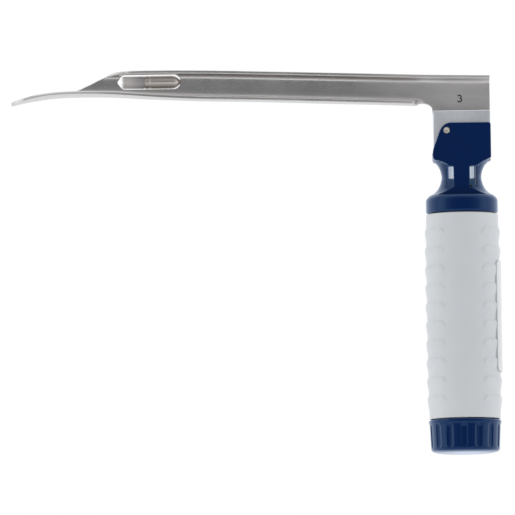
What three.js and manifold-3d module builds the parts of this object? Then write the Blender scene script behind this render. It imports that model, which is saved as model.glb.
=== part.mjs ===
// Straight-blade laryngoscope: a hook-on steel blade with a lamp, on a
// battery handle with a plastic yoke head, a ribbed grip sleeve and a screw cap.
// Units are millimetres. +Z is up along the handle, the blade points to -X, -Y is the front,
// and the origin is the centre of the flat underside of the end cap.
import * as THREE from 'three';
import { mergeVertices } from 'three/addons/utils/BufferGeometryUtils.js';
import Module from 'manifold-3d';

const wasm = await Module();
wasm.setup();
const { degToRad, smoothstep } = THREE.MathUtils;

// ------------------------------------------------- dimensions shared by several pieces
const PIN_X = -5.86, PIN_Z = 130.9, PIN_R = 1.25;       // hinge pin axis, along Y
const CONTACT_X = 1.2;                                  // vertical line of the contacts
const BLOCK_BOTTOM = 123.0;                             // hook-on block of the blade
const BLOCK_TIP_X = -11.25;                             // its face toward the blade tip
const HEEL_STEP_Z = 139.2;                              // its top
const LAMP_Y = 7.6, LAMP_Z = 153.6;                     // lamp axis, along X
const LEAD_Z = 136.6;                                   // where the lamp lead enters the block
const DETENT_X = 6.0, DETENT_Z = 128.3, BALL_R = 1.55;
const SLEEVE_BORE_R = 12.25;                            // head and grip bore round the core tube
const THROUGH = 12;                                     // half-length of a cut right through in Y

// ------------------------------------------------------------------- helpers
// closed solid from a geometry: welded, no collapsed triangles, faces outward
function solid(geometry) {
  const bare = geometry.clone();
  bare.deleteAttribute('normal');
  bare.deleteAttribute('uv');
  const welded = mergeVertices(bare, 1e-4);
  const position = welded.attributes.position;
  const index = welded.index.array;
  const corner = (i) => new THREE.Vector3().fromBufferAttribute(position, i);
  const triangles = [];
  let volume = 0;
  for (let i = 0; i < index.length; i += 3) {
    const [a, b, c] = index.slice(i, i + 3);
    if (a === b || b === c || c === a) continue;
    triangles.push([a, b, c]);
    volume += corner(a).dot(corner(b).cross(corner(c)));
  }
  const outward = volume < 0 ? triangles.map(([a, b, c]) => [a, c, b]) : triangles;
  return new wasm.Manifold(new wasm.Mesh({
    numProp: 3,
    vertProperties: new Float32Array(position.array),
    triVerts: new Uint32Array(outward.flat()),
  }));
}

function indexedSolid(points, index) {
  const geometry = new THREE.BufferGeometry();
  geometry.setAttribute('position', new THREE.Float32BufferAttribute(points.flat(), 3));
  geometry.setIndex(index);
  return solid(geometry);
}

function toGeometry(piece) {
  const mesh = piece.getMesh();
  const geometry = new THREE.BufferGeometry();
  const positions = new Float32Array(mesh.vertProperties);
  geometry.setAttribute('position', new THREE.BufferAttribute(positions, 3));
  geometry.setIndex(new THREE.BufferAttribute(new Uint32Array(mesh.triVerts), 1));
  geometry.computeVertexNormals();
  return geometry;
}

const vectors = (points) => points.map(([x, y]) => new THREE.Vector2(x, y));
const shapeOf = (points) => new THREE.Shape(vectors(points));

// steps + 1 points on an arc, or on an ellipse when radiusY is given
function arc([centreX, centreY], radius, start, sweep, steps, radiusY = radius) {
  return Array.from({ length: steps + 1 }, (_, i) => {
    const angle = start + sweep * i / steps;
    return [centreX + radius * Math.cos(angle), centreY + radiusY * Math.sin(angle)];
  });
}

// turned about the vertical line through (centreX, 0); profile is [radius, z]
function turned(profile, segments, centreX = 0) {
  const geometry = new THREE.LatheGeometry(vectors(profile), segments);
  geometry.rotateX(Math.PI / 2);
  geometry.translate(centreX, 0, 0);
  return solid(geometry);
}
function drum(radius, z0, z1, segments, centreX = 0) {
  return turned([[0, z0], [radius, z0], [radius, z1], [0, z1]], segments, centreX);
}
function ring(inner, outer, z0, z1, segments) {
  return turned([[inner, z0], [outer, z0], [outer, z1], [inner, z1], [inner, z0]], segments);
}
// turned about the lamp axis; profile is [radius, x]
function turnedOnLampAxis(profile, segments) {
  const geometry = new THREE.LatheGeometry(vectors(profile), segments);
  geometry.rotateZ(-Math.PI / 2);
  geometry.translate(0, LAMP_Y, LAMP_Z);
  return solid(geometry);
}
// outline in X-Z, pushed along Y
function plateXZ(outline, y0, y1) {
  const options = { depth: y1 - y0, bevelEnabled: false };
  const geometry = new THREE.ExtrudeGeometry(shapeOf(outline), options);
  geometry.rotateX(Math.PI / 2);          // shape y -> z, depth -> -y
  geometry.translate(0, y1, 0);
  return solid(geometry);
}
// outline in X-Y, pushed along Z
function plateXY(outline, z0, z1) {
  const options = { depth: z1 - z0, bevelEnabled: false };
  const geometry = new THREE.ExtrudeGeometry(shapeOf(outline), options);
  geometry.translate(0, 0, z0);
  return solid(geometry);
}
function box([x0, x1], [y0, y1], [z0, z1]) {
  const geometry = new THREE.BoxGeometry(x1 - x0, y1 - y0, z1 - z0);
  geometry.translate((x0 + x1) / 2, (y0 + y1) / 2, (z0 + z1) / 2);
  return solid(geometry);
}
// round bar along Y
function barY(radius, x, z, y0, y1, segments) {
  const geometry = new THREE.CylinderGeometry(radius, radius, y1 - y0, segments);
  geometry.translate(x, (y0 + y1) / 2, z);
  return solid(geometry);
}
function ball(radius, x, y, z) {
  const geometry = new THREE.SphereGeometry(radius, 10, 7);
  geometry.translate(x, y, z);
  return solid(geometry);
}

function circle(radius, sides, holeRadius = 0) {
  const loop = (r, sweep) => arc([0, 0], r, 0, sweep, sides).slice(0, -1);
  const shape = shapeOf(loop(radius, 2 * Math.PI));
  if (holeRadius > 0) {
    shape.holes.push(new THREE.Path(vectors(loop(holeRadius, -2 * Math.PI))));
  }
  return shape;
}
function sweptGeometry(shape, extrudePath, steps) {
  return new THREE.ExtrudeGeometry(shape, { steps, bevelEnabled: false, extrudePath });
}
const swept = (shape, path, steps) => solid(sweptGeometry(shape, path, steps));

// vertical coil about (centreX, 0), from startR at z0 to endR at z1
class Helix extends THREE.Curve {
  constructor({ centreX = 0, startR, endR = startR, z0, z1, turns }) {
    super();
    Object.assign(this, { centreX, startR, endR, z0, z1, turns });
  }
  getPoint(t, out = new THREE.Vector3()) {
    const angle = 2 * Math.PI * this.turns * t;
    const radius = this.startR + (this.endR - this.startR) * t;
    const z = this.z0 + (this.z1 - this.z0) * t;
    return out.set(this.centreX + radius * Math.cos(angle), radius * Math.sin(angle), z);
  }
}
// first part of a curve, stepped evenly between its control points
class Run extends THREE.Curve {
  constructor(base, end) {
    super();
    this.base = base;
    this.end = end;
  }
  getPoint(t, out = new THREE.Vector3()) { return this.base.getPoint(t * this.end, out); }
  getPointAt(u, out) { return this.getPoint(u, out); }
  getTangentAt(u, out) { return this.getTangent(u, out); }
}

// triangles joining closed sections of equal length; splitQuad picks each quad's diagonal
function skin(sections, splitQuad) {
  const count = sections[0].length, index = [];
  for (let i = 0; i + 1 < sections.length; i++) {
    for (let j = 0; j < count; j++) {
      const a = i * count + j, b = i * count + (j + 1) % count;
      index.push(...splitQuad(a, b, a + count, b + count));
    }
  }
  return index;
}
// solid through sections of [x, y, z] points lying across X, with flat ends
function loft(sections) {
  const count = sections[0].length;
  const index = skin(sections, (a, b, c, d) => [a, b, c, b, d, c]);
  const cross = (p, q, r) => (q.x - p.x) * (r.y - p.y) - (q.y - p.y) * (r.x - p.x);
  const closeEnd = (k, keepWinding) => {
    const flat = vectors(sections[k].map(([, y, z]) => [y, z]));
    const winding = Math.sign(THREE.ShapeUtils.area(flat));
    for (const [a, b, c] of THREE.ShapeUtils.triangulateShape(flat, [])) {
      const agrees = Math.sign(cross(flat[a], flat[b], flat[c])) === winding;
      const triangle = agrees === keepWinding ? [a, b, c] : [a, c, b];
      index.push(...triangle.map((i) => k * count + i));
    }
  };
  closeEnd(0, false);
  closeEnd(sections.length - 1, true);
  return indexedSolid(sections.flat(), index);
}
// linear interpolation in a table of [x, value], held at its ends
function interpolate(table, x) {
  if (x <= table[0][0]) return table[0][1];
  for (let i = 1; i < table.length; i++) {
    if (x > table[i][0]) continue;
    const [x0, v0] = table[i - 1], [x1, v1] = table[i];
    return v0 + (v1 - v0) * (x - x0) / (x1 - x0);
  }
  return table[table.length - 1][1];
}

// ------------------------------------------------------------- blade channel
// [x, z] of the underside and of the top line
const UNDERSIDE = [
  [-183, 143.9], [-181.96, 144.05], [-180.7, 144.45], [-179.5, 144.7], [-177, 145.25],
  [-173.4, 145.9], [-170.9, 146.25], [-168.5, 146.6], [-166, 146.85], [-162.8, 147.1],
  [-158, 147.3], [-150, 147.3], [-143, 147.15], [-138, 146.9], [-130.3, 146.35],
  [-122, 145.85], [-105.9, 145.1], [-81.5, 144.4], [-57.1, 143.45], [-32.7, 142.55],
  [-19.7, 142.0], [12.2, 140.9],
];
const CREST = [
  [-200, 158.05], [-130, 158.05], [-113.8, 157.98], [-97.6, 157.6], [-81.3, 157.05],
  [-65, 156.5], [-48.8, 155.95], [-32.5, 155.37], [-16.3, 154.77], [-11.4, 154.62],
  [12.2, 154.12],
];
// [x, y] of the top flange's free edge
const LIP = [[-140, 1.5], [-90, 1.0], [12.2, 1.0]];
// [x, rise] of the lower flange's free edge
const ROLL = [[-183, 0.9], [-165, 0.9], [-146, 0.7], [-110, 0], [12.2, 0]];
// x of each section
const STATIONS = [
  -182.9, -181.6, -180, -178, -175.5, -172, -168, -164, -159, -154, -149, -144,
  -139, -133, -125, -115, -103, -88, -72, -55, -38, -24, -14, 12.1,
];
// [x, z] side view that trims the channel
const SIDE_TRIM = [
  [-186, 138], [-186, 146.3], [-181.9, 146.3], [-180.7, 146.85], [-179.5, 147.2],
  [-178.2, 147.6], [-177, 147.9], [-173.3, 148.5], [-168.4, 149.0], [-163.5, 149.25],
  [-157.6, 149.45], [-156.4, 150.0], [-154.6, 150.9], [-150.5, 152.9], [-146.4, 154.9],
  [-143.2, 156.35], [-141, 157.05], [-138.4, 157.35], [-133, 160], [16, 160], [16, 138],
];
const TIP_X = -171.2;                                   // where the plan starts to round off
// [x, half-height] of the lamp window round the pointed bulb
const WINDOW_TIP = [
  [-136.5, 3.0], [-137.0, 2.9], [-137.75, 2.45], [-138.25, 1.75], [-138.9, 0.95],
];
const FLANGE_END_X = -17.6;                             // the lower flange stops here
const HEEL_END_X = 12.1, LAP_BOTTOM = 135.2, LAP_TOP = 147.5;
// [x, z] of the rounded end of the lower flange
const FLANGE_END = [
  [FLANGE_END_X, 143.15], [-16.5, 143.35], [-15.2, 143.25], [-14.0, 143.0],
  [-13.2, 142.7], [-12.4, 142.25], [-11.6, 141.5], [BLOCK_TIP_X, 140.6],
];
// [x, z] of the web that runs down behind the block as a lap
const HEEL_LAP = [
  [FLANGE_END_X, LAP_TOP], ...FLANGE_END, [BLOCK_TIP_X, 137.6], [-8.5, 137.6],
  [-5.5, LAP_BOTTOM], [HEEL_END_X, LAP_BOTTOM], [HEEL_END_X, LAP_TOP],
];

function channelSection(x) {
  const base = interpolate(UNDERSIDE, x), top = interpolate(CREST, x) - base;
  const lip = interpolate(LIP, x), rise = interpolate(ROLL, x);
  // [y, height above the underside]: out along the bottom, web and flange, back inside
  const profile = [
    [-6.8, rise], [-5.9, rise * 0.5], [-4.4, rise * 0.17], [-2.5, 0.03], [0, 0],
    [2.5, 0.05], [4.3, 0.35], [5.6, 1.1], [6.5, 2.4], [6.9, 4.2], [7.0, top / 2],
    [6.9, top - 4.0], [6.5, top - 2.2], [5.6, top - 0.9], [4.3, top - 0.25],
    [3.4, top - 0.08], [lip + 1.5, top - 0.02], [lip + 0.7, top - 0.03], [lip, top - 0.12],
    [lip, top - 1.38], [lip + 0.7, top - 1.42], [lip + 1.5, top - 1.42], [3.4, top - 1.5],
    [3.8, top - 1.65], [4.7, top - 2.1], [5.3, top - 3.0], [5.6, top - 4.2],
    [5.65, top / 2], [5.6, 4.4], [5.3, 3.2], [4.7, 2.2], [3.8, 1.7], [2.5, 1.45],
    [0, 1.35], [-2.5, 1.38], [-4.4, 1.38 + rise * 0.17], [-5.9, 1.32 + rise * 0.5],
    [-6.8, rise + 1.2],
  ];
  return profile.map(([y, z]) => [x, y, base + z]);
}
// plan view with a half-ellipse tip
function tipPlan() {
  const tip = arc([TIP_X, 0.1], 11.6, -Math.PI / 2, -Math.PI, 16, 7.05);
  return [[16, -9], [TIP_X, -9], ...tip, [TIP_X, 9], [16, 9]];
}
// round at the heel end, close round the pointed bulb at the tip end
function lampWindow() {
  return [
    ...arc([-116.7, LAMP_Z], 3.0, -Math.PI / 2, Math.PI, 8),
    ...WINDOW_TIP.map(([x, half]) => [x, LAMP_Z + half]),
    [-139.5, LAMP_Z],
    ...WINDOW_TIP.map(([x, half]) => [x, LAMP_Z - half]).reverse(),
  ];
}
function bladeChannel() {
  const belowFlangeEnd = [...FLANGE_END, [BLOCK_TIP_X, 130], [FLANGE_END_X, 130]];
  const aboveBlock = [130, HEEL_STEP_Z + 0.3];
  return loft(STATIONS.map(channelSection))
    .intersect(plateXZ(SIDE_TRIM, -THROUGH, THROUGH))
    .intersect(plateXY(tipPlan(), 130, 165))
    .subtract(plateXZ(lampWindow(), 3.0, 9.0))
    .subtract(box([FLANGE_END_X, 20], [-THROUGH, 5.45], [135, LAP_TOP]))
    .subtract(box([BLOCK_TIP_X, 20], [-THROUGH, THROUGH], aboveBlock))
    .subtract(plateXZ(belowFlangeEnd, -THROUGH, THROUGH))
    .add(plateXZ(HEEL_LAP, 5.65, 6.95))
    .subtract(barY(0.9, CONTACT_X, LEAD_Z, 5, 8, 12));  // hole for the lead
}

// ------------------------------------------------------------- hook-on block
const BLOCK_HALF = 6.4, BLOCK_HEEL_X = 12.0;
const HOOK_TILT = degToRad(75);                         // hook slot below horizontal
const HOOK_HALF = 1.45, HOOK_REACH = 12;                // its half-width and length
const LAP_SEAT = [                                      // [x, z]
  [-13, 137.4], [-8.4, 137.4], [-5.4, 135.0], [13, 135.0], [13, 141], [-13, 141],
];

// the lower corner toward the tip is an arc about the pin axis
function blockSide() {
  const corner = arc([PIN_X, PIN_Z], 8.5, degToRad(230), degToRad(22), 6);
  return [
    [BLOCK_TIP_X, HEEL_STEP_Z], [BLOCK_TIP_X, 124.8],
    ...corner.map(([x, z]) => [x, Math.max(BLOCK_BOTTOM, z)]),
    [-3.2, BLOCK_BOTTOM], [11.6, BLOCK_BOTTOM],
    [BLOCK_HEEL_X, 123.4], [BLOCK_HEEL_X, HEEL_STEP_Z],
  ];
}
// from the round pin seat down and toward +X
function hookSlot() {
  const cos = Math.cos(HOOK_TILT), sin = Math.sin(HOOK_TILT);
  const mouth = (side) => [
    PIN_X + side * HOOK_HALF * sin + HOOK_REACH * cos,
    PIN_Z + side * HOOK_HALF * cos - HOOK_REACH * sin,
  ];
  const seat = arc([PIN_X, PIN_Z], HOOK_HALF, Math.PI / 2 - HOOK_TILT, Math.PI, 8);
  return [...seat, mouth(-1), mouth(1)];
}
function heelBlock() {
  return plateXZ(blockSide(), -BLOCK_HALF, BLOCK_HALF)
    .subtract(plateXZ(LAP_SEAT, 5.6, 8))
    .subtract(plateXZ(hookSlot(), -10, 10))
    .subtract(drum(2.6, 120, 128.2, 20, CONTACT_X))     // insulator bore
    .subtract(drum(1.1, 127, 137.7, 12, CONTACT_X))     // lead passage
    .subtract(barY(1.1, CONTACT_X, LEAD_Z, -0.5, 9, 12))
    .subtract(barY(BALL_R + 0.15, DETENT_X, DETENT_Z, -9, 9, 20));
}

// --------------------------------------------- lamp, lead and block fittings
const WIRE_Y = 8.9;
// [x, y, z] along the rear (+Y) face of the web, then into the block
const TUBE_PATH = [
  [-113.2, WIRE_Y, LAMP_Z], [-100, WIRE_Y, 153.0], [-70, WIRE_Y, 151.2],
  [-40, WIRE_Y, 149.6], [-18, WIRE_Y, 147.9], [-8, WIRE_Y, 145.2], [-2.5, WIRE_Y, 140.4],
  [0.6, WIRE_Y, 137.4], [CONTACT_X, 8.3, LEAD_Z], [CONTACT_X, 7.2, LEAD_Z],
];
const LEAD_PATH = [
  ...TUBE_PATH, [CONTACT_X, 2.2, LEAD_Z], [CONTACT_X, 0.35, 136.2],
  [CONTACT_X, 0, 134.6], [CONTACT_X, 0, 128.6],
];
const leadPoints = LEAD_PATH.map((point) => new THREE.Vector3(...point));
const leadCurve = new THREE.CatmullRomCurve3(leadPoints, false, 'centripetal');
const BALL_Y = 6.55 - BALL_R;
// [radius, x]
const BULB = [
  [0, -139.3], [0.5, -139.0], [1.3, -138.3], [2.1, -137.9], [2.55, -137.3],
  [2.65, -136.6], [2.65, -128.6], [2.3, -128.45], [0, -128.45],
];
const LAMP_BASE = [
  [0, -128.2], [2.5, -128.2], [2.7, -127.9], [2.7, -117.2], [2.5, -116.1],
  [2.0, -115.1], [1.3, -114.3], [0.9, -113.7], [0, -113.65],
];
// [radius, z]
const BLOCK_CONTACT = [
  [0, 123.1], [1.0, 123.15], [1.3, 123.45], [1.3, 127.9], [0.9, 128.3], [0, 128.3],
];

function lightTube() {
  const share = (TUBE_PATH.length - 1) / (LEAD_PATH.length - 1);
  return swept(circle(1.5, 8, 0.95), new Run(leadCurve, share), 18);
}
const lampLead = () => swept(circle(0.42, 5), new Run(leadCurve, 1), 26);
function blockInsulator() {
  return drum(2.4, BLOCK_BOTTOM + 0.1, 128.0, 20, CONTACT_X)
    .subtract(drum(1.5, 120, 130, 16, CONTACT_X));
}
function detentSpring() {
  const coil = new Helix({ startR: 1.1, z0: -2.3, z1: 2.3, turns: 4.5 });
  const geometry = sweptGeometry(circle(0.22, 5), coil, 40);
  geometry.rotateX(Math.PI / 2);                        // lay it along Y
  geometry.translate(DETENT_X, 0, DETENT_Z);
  return solid(geometry);
}

// ----------------------------------------------------------------- yoke head
const FLOOR_Z = 122.2;                                  // floor of the yoke slot
const SLOT_HALF = 6.7, CHEEK_OUT = 8.9;                 // inner and outer cheek faces
const COLLAR_R = 14.65, COLLAR_BOTTOM = 97.6;
const PIN_HALF = 9.3;
// [radius, z]
const HEAD_PROFILE = [
  [0, FLOOR_Z], [11.9, FLOOR_Z], [11.67, 120.25], [11.5, 119.4], [11.0, 118.6],
  [10.19, 117.8], [9.5, 117.0], [9.07, 116.2], [8.72, 115.4], [8.44, 114.5],
  [8.25, 113.6], [8.1, 112.6], [8.15, 111.6], [8.4, 110.5], [8.6, 109.7],
  [8.93, 108.9], [9.37, 108.0], [9.9, 107.2], [10.63, 106.4], [11.65, 105.6],
  [13.1, 104.8], [14.0, 104.0], [14.5, 103.2], [COLLAR_R, 102.4], [COLLAR_R, 98.2],
  [14.35, COLLAR_BOTTOM], [0, COLLAR_BOTTOM],
];
// [x, z] of a cheek, with the rib that runs down from it
const CHEEK = [
  [-3.94, 134.1], [11.6, 134.0], [12.1, 133.5], [12.1, 119.7], [11.5, 119.35],
  [8.6, 118.0], [6.8, 116.8], [5.0, 115.6], [3.3, 115.0], [3.3, 107.0], [-3.3, 107.0],
  [-3.3, 115.0], [-4.6, 115.9], [-6.0, 117.1], [-7.43, 117.9], [-9.5, 118.6],
  [-11.3, 118.9], [-11.75, 120.9], [-11.5, 122.95], [-10.8, 125.0], [-10.0, 127.0],
  [-9.15, 129.4], [-8.45, 131.2], [-7.6, 132.5], [-6.4, 133.5], [-5.2, 134.0],
];

// [x, z] of the ground strip, widened by gap for the slot it lies in
function stripOutline(bottom, top, gap) {
  return [
    [10.0 - gap, bottom], [10.28 + gap, bottom], [10.28 + gap, 104.5 + gap / 2],
    [5.88 + gap, 109.2 + gap / 2], [5.88 + gap, top], [5.58 - gap, top],
    [5.58 - gap, 109.1 - gap / 2], [10.0 - gap, 104.4 - gap / 2],
  ];
}
function handleHead() {
  let head = turned(HEAD_PROFILE, 36);
  for (const flank of [[-20, -CHEEK_OUT], [CHEEK_OUT, 20]]) {
    head = head.subtract(box([-20, 20], flank, [104.5, 130]));
  }
  head = head.add(plateXZ(CHEEK, -CHEEK_OUT, -SLOT_HALF))
    .add(plateXZ(CHEEK, SLOT_HALF, CHEEK_OUT))
    .subtract(drum(6.2, 106.9, 120.9, 20))
    .subtract(drum(7.6, 102.6, 107.4, 20))
    .subtract(drum(SLEEVE_BORE_R, 90, 102.9, 36));
  for (const frontWindow of [[-5.9, -3.3], [3.3, 5.9]]) {
    head = head.subtract(box(frontWindow, [-12, 0], [107.6, 116.2]));
  }
  return head
    .subtract(drum(1.95, 119, 125, 14, CONTACT_X))      // plunger hole
    .subtract(barY(PIN_R + 0.08, PIN_X, PIN_Z, -THROUGH, THROUGH, 16))
    .subtract(ball(1.7, DETENT_X, -5.32, DETENT_Z))     // detent dimples
    .subtract(ball(1.7, DETENT_X, 5.32, DETENT_Z))
    .subtract(plateXZ(stripOutline(2.4, 123.15, 0.4), -1.6, 1.6));
}

// ------------------------------------------------------------- head contacts
// [radius, z]
const PLUNGER = [
  [0, 116.3], [2.45, 116.3], [2.45, 117.3], [1.6, 117.3], [1.6, 122.0],
  [1.2, 122.55], [0.6, 122.75], [0, 122.8],
];
const TERMINAL = [
  [0, 108.2], [3.2, 108.2], [3.2, 109.2], [0.9, 109.2], [0.9, 114.4],
  [0.6, 114.7], [0, 114.7],
];

function contactHousing() {
  return drum(5.2, 112.1, 120.6, 24)
    .subtract(drum(2.75, 113.6, 119.4, 20, CONTACT_X))  // spring chamber
    .subtract(drum(1.2, 110, 115, 14, CONTACT_X))       // terminal hole
    .subtract(drum(1.85, 118, 122, 18, CONTACT_X));     // plunger hole
}
function plungerSpring() {
  const coil = new Helix({ centreX: CONTACT_X, startR: 2.1, z0: 113.95, z1: 115.95, turns: 3 });
  return swept(circle(0.25, 5), coil, 33);
}

// ------------------------------------------------------- core tube and grip
const TUBE_OUT_R = 11.9, TUBE_IN_R = 10.6;
const THREAD_SECTION = [[-0.55, -0.5], [0.55, -0.25], [0.55, 0.25], [-0.55, 0.5]];
const GRIP_BOTTOM = 13.7, GRIP_TOP = 97.2, GRIP_SIDES = 30, GRIP_EDGE = 0.35;
// [z, radius] of the sleeve between its pads
const GRIP_R = [
  [GRIP_BOTTOM, 14.4], [20, 14.55], [35, 14.72], [60, 14.8], [80, 14.8], [93, 14.65],
  [GRIP_TOP, 14.55],
];
const PAD_TOP_Z = 89.0, PAD_PITCH = 7.58, PAD_COUNT = 10, PAD_RISE = 0.5;
const PAD_ABOVE = 2.5, PAD_BELOW = 2.9;                 // reach above and below its centre
const padCentres = Array.from({ length: PAD_COUNT }, (_, k) => PAD_TOP_Z - k * PAD_PITCH);
const LABEL_IN_R = 15.37, LABEL_OUT_R = 15.52;
const LABEL_START = degToRad(-28), LABEL_SWEEP = degToRad(38) - LABEL_START;

// inner tube with a raised thread for the end cap
function coreTube() {
  const thread = new Helix({ startR: 12.1, z0: 5.2, z1: 10.2, turns: 2.5 });
  return ring(TUBE_IN_R, TUBE_OUT_R, 4.0, 102.6, 30)
    .add(swept(shapeOf(THREAD_SECTION), thread, 50))
    .subtract(drum(TUBE_IN_R, 0, 110, 30));
}
// pads fade out away from the +X and -X sides
function padHeight(theta, z) {
  const fromSide = Math.acos(Math.min(1, Math.abs(Math.cos(theta))));
  const fade = smoothstep(1.08 - fromSide, 0, 0.25);
  const slope = (reach) => Math.cos(Math.min(1, reach) * Math.PI / 2);
  const heights = padCentres.map((centre) => {
    const above = z - centre;
    return above > 0 ? slope(above / PAD_ABOVE) ** 0.7 : slope(-above / PAD_BELOW);
  });
  return PAD_RISE * fade * Math.max(0, ...heights);
}
function gripRing(z) {
  const edge = z === GRIP_BOTTOM || z === GRIP_TOP ? GRIP_EDGE : 0;
  const baseRadius = interpolate(GRIP_R, z) - edge;
  return Array.from({ length: GRIP_SIDES }, (_, j) => {
    const theta = 2 * Math.PI * j / GRIP_SIDES;
    const radius = baseRadius + padHeight(theta, z);
    return [radius * Math.cos(theta), radius * Math.sin(theta), z];
  });
}
// two rows of raised finger pads, smooth at the front and back
function gripSleeve() {
  const padLevels = [...padCentres].reverse().flatMap((z) => [z - PAD_BELOW, z - 0.6, z + 1.2]);
  const levels = [
    GRIP_BOTTOM, GRIP_BOTTOM + 0.6, 17.4, ...padLevels, 94.0, GRIP_TOP - 0.5, GRIP_TOP,
  ];
  const rings = levels.map(gripRing);
  const index = skin(rings, (a, b, c, d) => [a, b, d, a, d, c]);
  const points = [...rings.flat(), [0, 0, GRIP_BOTTOM], [0, 0, GRIP_TOP]];
  const topCentre = points.length - 1, bottomCentre = topCentre - 1;
  const topRing = bottomCentre - GRIP_SIDES;
  for (let j = 0; j < GRIP_SIDES; j++) {
    const next = (j + 1) % GRIP_SIDES;
    index.push(bottomCentre, next, j, topCentre, topRing + j, topRing + next);
  }
  return indexedSolid(points, index).subtract(drum(SLEEVE_BORE_R, 0, 110, 30));
}
// blank wrap-round label on the +X side of the grip
function gripLabel() {
  const face = (radius) => arc([0, 0], radius, LABEL_START, LABEL_SWEEP, 10);
  return plateXY([...face(LABEL_OUT_R), ...face(LABEL_IN_R).reverse()], 32.8, 77.9);
}

// --------------------------------------------------------------- battery bay
const CELL_R = 7.1, CELL_BODY = 49.0, CELL_NUB = 1.2, CELL_GAP = 0.2;
const LOWER_CELL_Z = 7.2;
const UPPER_CELL_Z = LOWER_CELL_Z + CELL_BODY + CELL_NUB + CELL_GAP;

function battery(z) {
  const shoulder = z + CELL_BODY, nubTop = shoulder + CELL_NUB;
  return turned([
    [0, z], [CELL_R - 0.4, z], [CELL_R, z + 0.4], [CELL_R, shoulder - 0.5],
    [CELL_R - 0.5, shoulder], [2.75, shoulder], [2.6, nubTop], [0, nubTop],
  ], 20);
}

// ------------------------------------------------------------------- end cap
const CAP_R = 14.75, CAP_H = 13.3, CAP_BORE_R = 12.95, CAP_FLOOR = 2.3;
const FLUTES = 15, FLUTE_R = 1.9, FLUTE_LENGTH = 10.4, FLUTE_MID_Z = 6.6;
const FLUTE_LEAN = degToRad(2.8), FLUTE_OFFSET = 15.6, FIRST_FLUTE = -92.6;   // degrees
// [radius, z]
const CAP_PROFILE = [
  [0, 0], [11.4, 0], [13.4, 0.6], [13.95, 1.3], [14.45, 11.6], [CAP_R, 12.1],
  [CAP_R, 12.9], [14.45, CAP_H], [13.35, CAP_H], [13.35, 11.4], [CAP_BORE_R, 11.1],
  [CAP_BORE_R, CAP_FLOOR], [0, CAP_FLOOR],
];

function endCap() {
  let cap = turned(CAP_PROFILE, 45);
  for (let i = 0; i < FLUTES; i++) {
    const flute = new THREE.CylinderGeometry(FLUTE_R, FLUTE_R, FLUTE_LENGTH, 10);
    flute.rotateX(Math.PI / 2);
    flute.translate(0, 0, FLUTE_MID_Z);
    flute.rotateY(FLUTE_LEAN);
    flute.translate(FLUTE_OFFSET, 0, 0);
    flute.rotateZ(degToRad(FIRST_FLUTE + i * 360 / FLUTES));
    cap = cap.subtract(solid(flute));
  }
  return cap;
}
function capSpring() {
  const coil = new Helix({ startR: 5.2, endR: 3.0, z0: 3.45, z1: 6.75, turns: 3 });
  return swept(circle(0.35, 5), coil, 36);
}
function capSeal() {
  const geometry = new THREE.TorusGeometry(12.6, 0.48, 6, 24);
  geometry.translate(0, 0, 12.35);
  return solid(geometry);
}

// ----------------------------------------------------------------- materials
const steel = { color: 0x8b8d90, metalness: 1.0, roughness: 0.34 };
const blockSteel = { color: 0xaab0b6, metalness: 1.0, roughness: 0.28 };
const pinSteel = { color: 0xb0aca0, metalness: 1.0, roughness: 0.4 };
const lampMetal = { color: 0x8f8a84, metalness: 1.0, roughness: 0.25 };
const brass = { color: 0xb9975b, metalness: 1.0, roughness: 0.3 };
const cellJacket = { color: 0x2c2f33, metalness: 0.6, roughness: 0.3 };
const bulbGlass = { color: 0xe6e2dc, metalness: 0.0, roughness: 0.2 };
const leadYellow = { color: 0xc8a040, metalness: 0.0, roughness: 0.5 };
const insulatorBlack = { color: 0x222222, metalness: 0.0, roughness: 0.6 };
const sealBlack = { color: 0x15161a, metalness: 0.0, roughness: 0.7 };
const tubeGrey = { color: 0x30343a, metalness: 0.0, roughness: 0.5 };
const linerGrey = { color: 0x9a9da0, metalness: 0.0, roughness: 0.6 };
const navy = { color: 0x0a2554, metalness: 0.0, roughness: 0.22 };
const gripWhite = { color: 0xd6d9db, metalness: 0.0, roughness: 0.55 };
const housingWhite = { color: 0xe4e4e2, metalness: 0.0, roughness: 0.5 };
const labelWhite = { color: 0xe8eaea, metalness: 0.0, roughness: 0.3 };

// ------------------------------------------------------------------ assembly
function groupOf(pieces) {
  const group = new THREE.Group();
  for (const [name, piece, finish] of pieces) {
    const mesh = new THREE.Mesh(toGeometry(piece), new THREE.MeshStandardMaterial(finish));
    mesh.name = name;
    group.add(mesh);
  }
  return group;
}

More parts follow.
